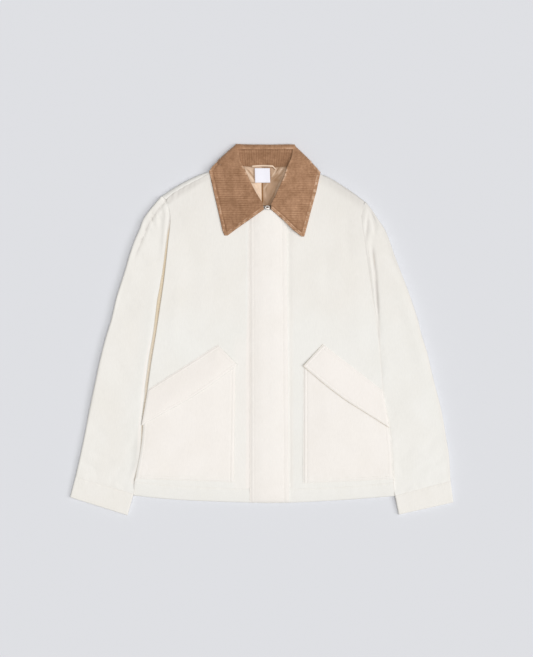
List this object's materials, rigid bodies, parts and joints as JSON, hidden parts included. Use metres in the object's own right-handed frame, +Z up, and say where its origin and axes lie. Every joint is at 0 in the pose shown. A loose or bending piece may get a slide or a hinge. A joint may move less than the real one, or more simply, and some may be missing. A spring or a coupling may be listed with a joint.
{
  "type": "padded blouson jacket laid flat",
  "caption": "Short padded jacket laid flat on its back, with a corduroy collar, a zip under a storm flap, slanted flap pockets, cuffs and a hem band.",
  "frame": {"origin": "middle of the flat underside of the back panel, at the centre of the picture's outline", "axes": "+Z up off the surface it lies on, +X to the wearer's left along the greatest width, +Y from the hem to the collar"},
  "size_m": [0.749, 0.7206, 0.0262],
  "materials": {
    "cream_cotton": "smooth closely woven cotton, matt",
    "tan_corduroy": "corduroy with raised wales",
    "sand_satin": "lining satin, slightly glossy",
    "zip_tape": "woven zip tape",
    "nickel": "nickel plate",
    "white_label": "blank woven label"
  },
  "bodies": {
    "root": {"back_panel": "cream_cotton", "front_right": "cream_cotton", "front_left": "cream_cotton", "hem_band_back": "cream_cotton", "hem_band_right": "cream_cotton", "hem_band_left": "cream_cotton", "sleeve_right": "cream_cotton", "sleeve_left": "cream_cotton", "cuff_right": "cream_cotton", "cuff_left": "cream_cotton", "pocket_right": "cream_cotton", "pocket_left": "cream_cotton", "pocket_flap_right": "cream_cotton", "pocket_flap_left": "cream_cotton", "placket": "cream_cotton", "collar_leaf": "tan_corduroy", "collar_stand_back": "tan_corduroy", "collar_stand_right": "tan_corduroy", "collar_stand_left": "tan_corduroy", "lining_back": "sand_satin", "hanger_loop": "sand_satin", "neck_label": "white_label", "zip_tape": "zip_tape", "zip_slider": "nickel", "zip_pull": "nickel"}
  },
  "joints": []
}
